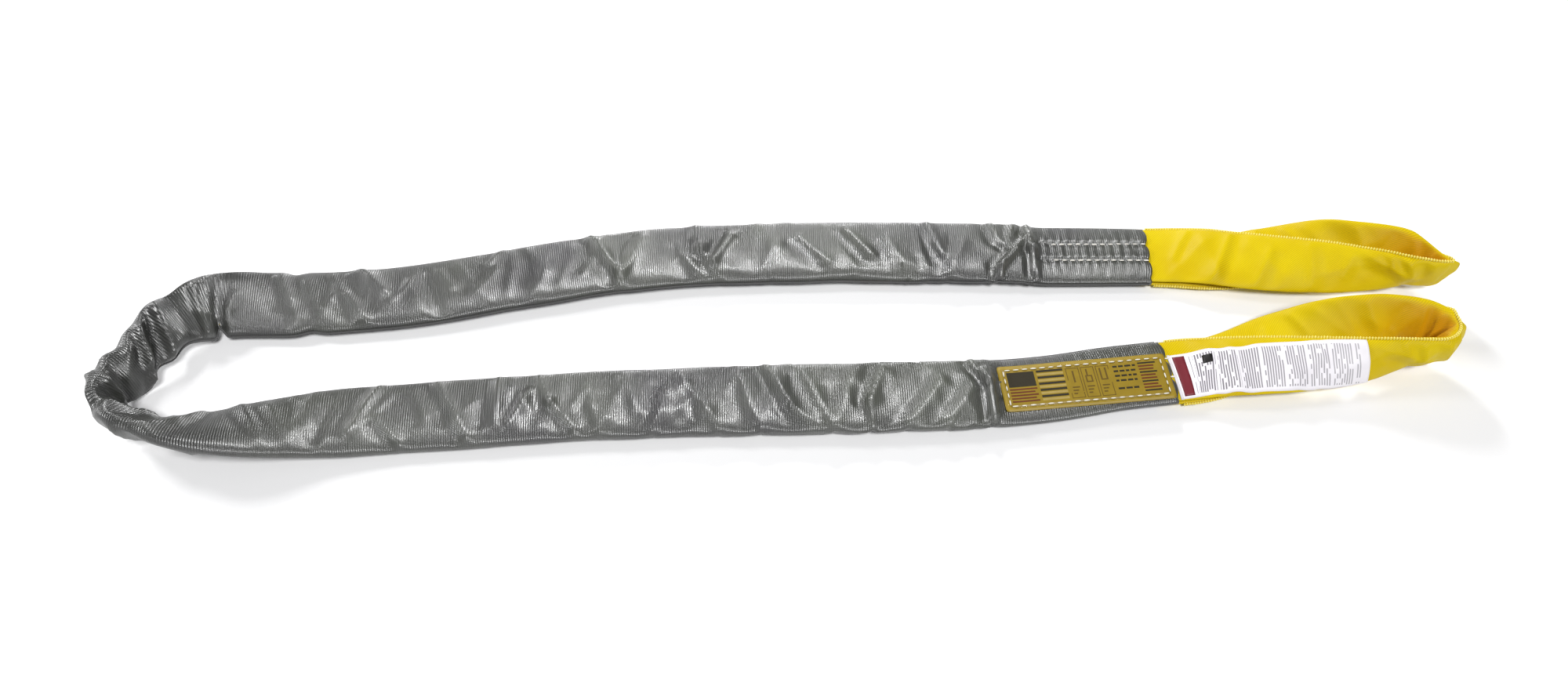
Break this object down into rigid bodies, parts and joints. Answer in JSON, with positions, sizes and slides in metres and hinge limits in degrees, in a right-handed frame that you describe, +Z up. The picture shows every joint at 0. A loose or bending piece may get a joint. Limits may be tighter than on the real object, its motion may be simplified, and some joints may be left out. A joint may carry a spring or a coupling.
{
  "type": "eye-and-eye round sling",
  "caption": "Soft polyester round sling laid out folded in half: grey tubular body cover, yellow jacketed lifting eyes at its ends, sewn identification tag and a free user label.",
  "frame": {"origin": "centre of the laid-out sling's box, on the floor", "axes": "+X from the fold towards the eyes, +Y from the tagged lower leg towards the upper leg, +Z up"},
  "size_m": [1.4833, 0.3329, 0.0742],
  "materials": {
    "grey_cover": "satin woven polyester",
    "cover_overlock": "overlocked edge",
    "yellow_jacket": "woven polyester",
    "jacket_overlock": "overlocked edge",
    "load_yarn": "parallel polyester yarn",
    "splice_tape": "adhesive tape",
    "sewing_thread": "polyester thread",
    "tag_backing": "olive-gold leather-look vinyl",
    "tag_print": "printed",
    "tag_film": "clear glossy film",
    "label_cloth": "coated label cloth",
    "label_header": "printed strip"
  },
  "bodies": {
    "lower_leg": {"lower_cover": "grey_cover", "lower_cover_seam": "cover_overlock", "lower_jacket_top_run": "yellow_jacket", "lower_jacket_bottom_run": "yellow_jacket", "lower_core_top_run": "load_yarn", "lower_core_bottom_run": "load_yarn", "core_splice_tape": "splice_tape", "lower_closing_stitches": "sewing_thread", "tag_backing": "tag_backing", "tag_insert": "tag_print", "tag_film": "tag_film", "tag_stitches": "sewing_thread"},
    "upper_leg": {"upper_cover": "grey_cover", "upper_cover_seam": "cover_overlock", "upper_jacket_top_run": "yellow_jacket", "upper_jacket_bottom_run": "yellow_jacket", "upper_core_top_run": "load_yarn", "upper_core_bottom_run": "load_yarn", "upper_closing_stitches": "sewing_thread"},
    "upper_eye": {"upper_eye_front_jacket": "yellow_jacket", "upper_eye_bend_jacket": "yellow_jacket", "upper_eye_back_jacket": "yellow_jacket", "upper_eye_core": "load_yarn", "upper_eye_seam": "jacket_overlock"},
    "lower_eye": {"lower_eye_front_jacket": "yellow_jacket", "lower_eye_bend_jacket": "yellow_jacket", "lower_eye_back_jacket": "yellow_jacket", "lower_eye_core": "load_yarn", "lower_eye_seam": "jacket_overlock"},
    "label": {"user_label": "label_cloth", "label_header": "label_header", "label_hem": "label_cloth"}
  },
  "joints": [
    {"name": "fold_spread", "type": "hinge", "parent": "lower_leg", "child": "upper_leg", "pos_m": [-0.742, -0.0883, 0.037], "axis": [0, 0, 1], "range_deg": [0, 170]},
    {"name": "upper_eye_lift", "type": "hinge", "parent": "upper_leg", "child": "upper_eye", "pos_m": [0.4115, 0.1217, 0.0241], "axis": [0, -1, 0], "range_deg": [0, 90]},
    {"name": "lower_eye_lift", "type": "hinge", "parent": "lower_leg", "child": "lower_eye", "pos_m": [0.4115, -0.0403, 0.0241], "axis": [0.1236, -0.9923, 0], "range_deg": [0, 90]},
    {"name": "label_lift", "type": "hinge", "parent": "lower_eye", "child": "label", "pos_m": [0.419, -0.0455, 0.0252], "axis": [0.1236, -0.9923, 0], "range_deg": [0, 70]}
  ]
}
